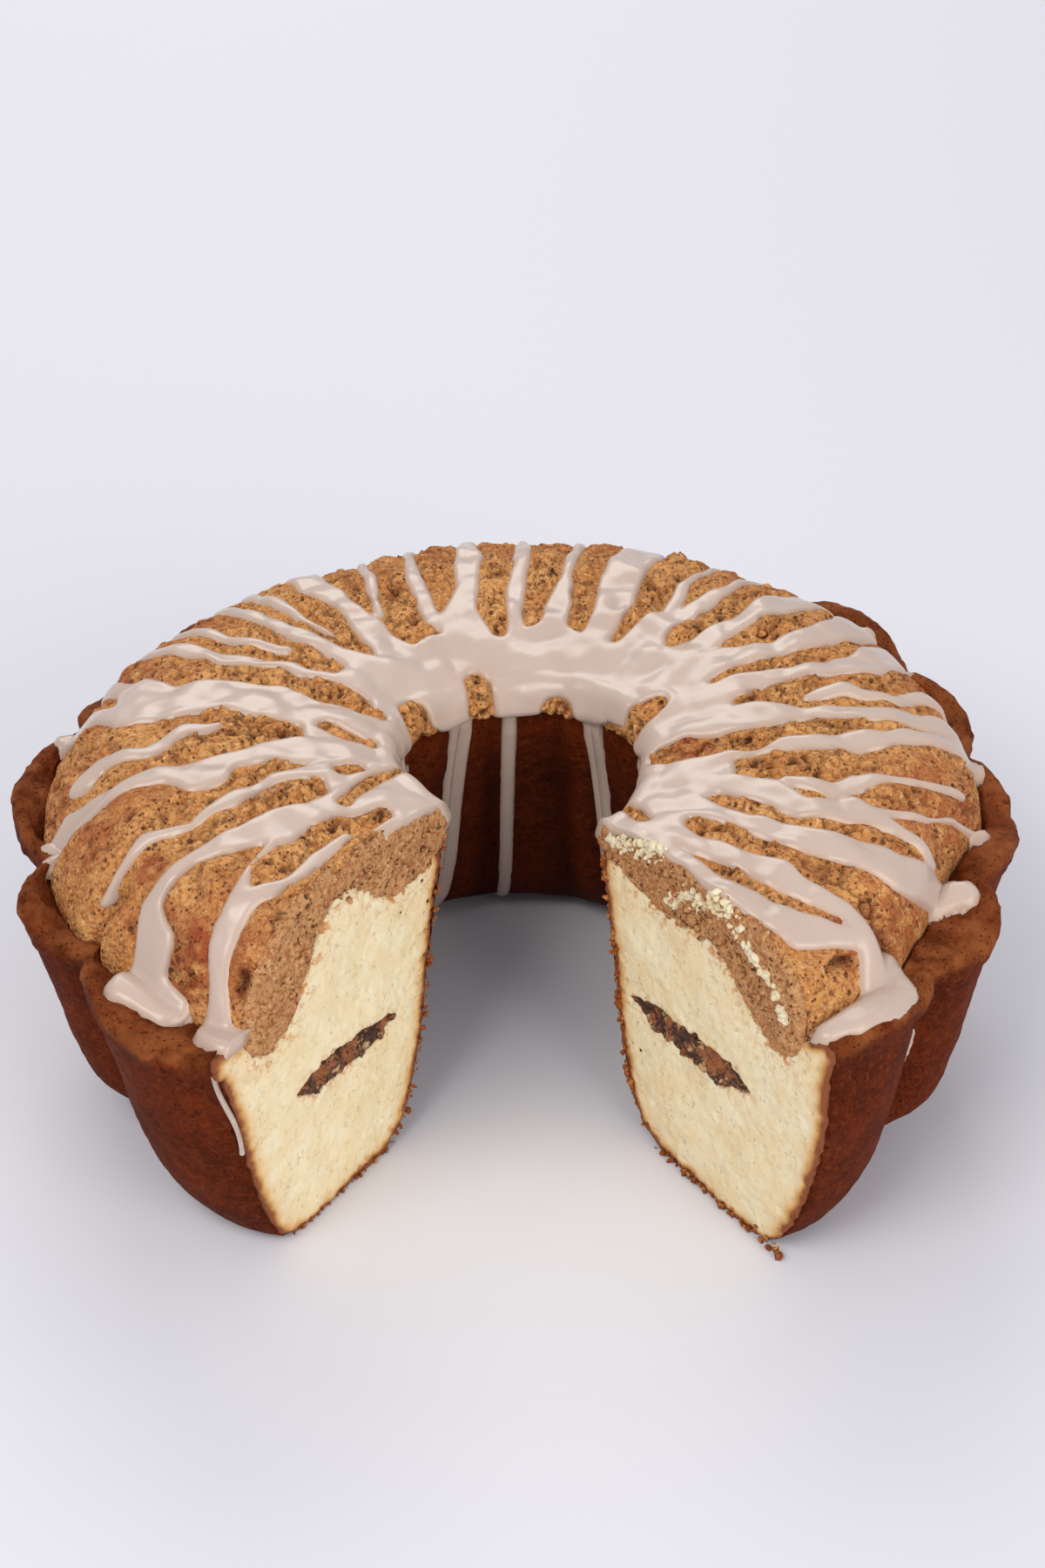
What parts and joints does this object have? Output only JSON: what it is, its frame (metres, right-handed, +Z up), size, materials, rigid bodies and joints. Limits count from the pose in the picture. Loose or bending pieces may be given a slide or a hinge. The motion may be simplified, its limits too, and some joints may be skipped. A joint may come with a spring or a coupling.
{
  "type": "bundt cake",
  "caption": "Ring cake from a fluted tube pan with streusel top, cinnamon ribbon and icing drizzle, one slice taken out.",
  "frame": {"origin": "middle of the base of the whole cake's box, on the surface it stands on", "axes": "+Z up, -Y towards the missing slice, +X to the right when the slice gap faces the viewer"},
  "size_m": [0.256, 0.2222, 0.1048],
  "materials": {
    "crumb_and_crust": "soft baked crumb, browned on the outside",
    "cinnamon_sugar": "moist and grainy",
    "streusel": "dry crumbly baked lumps",
    "icing": "glossy poured sugar icing"
  },
  "bodies": {
    "root": {"cake_body": "crumb_and_crust", "cinnamon_filling": "cinnamon_sugar", "streusel_topping": "streusel"}
  },
  "joints": []
}
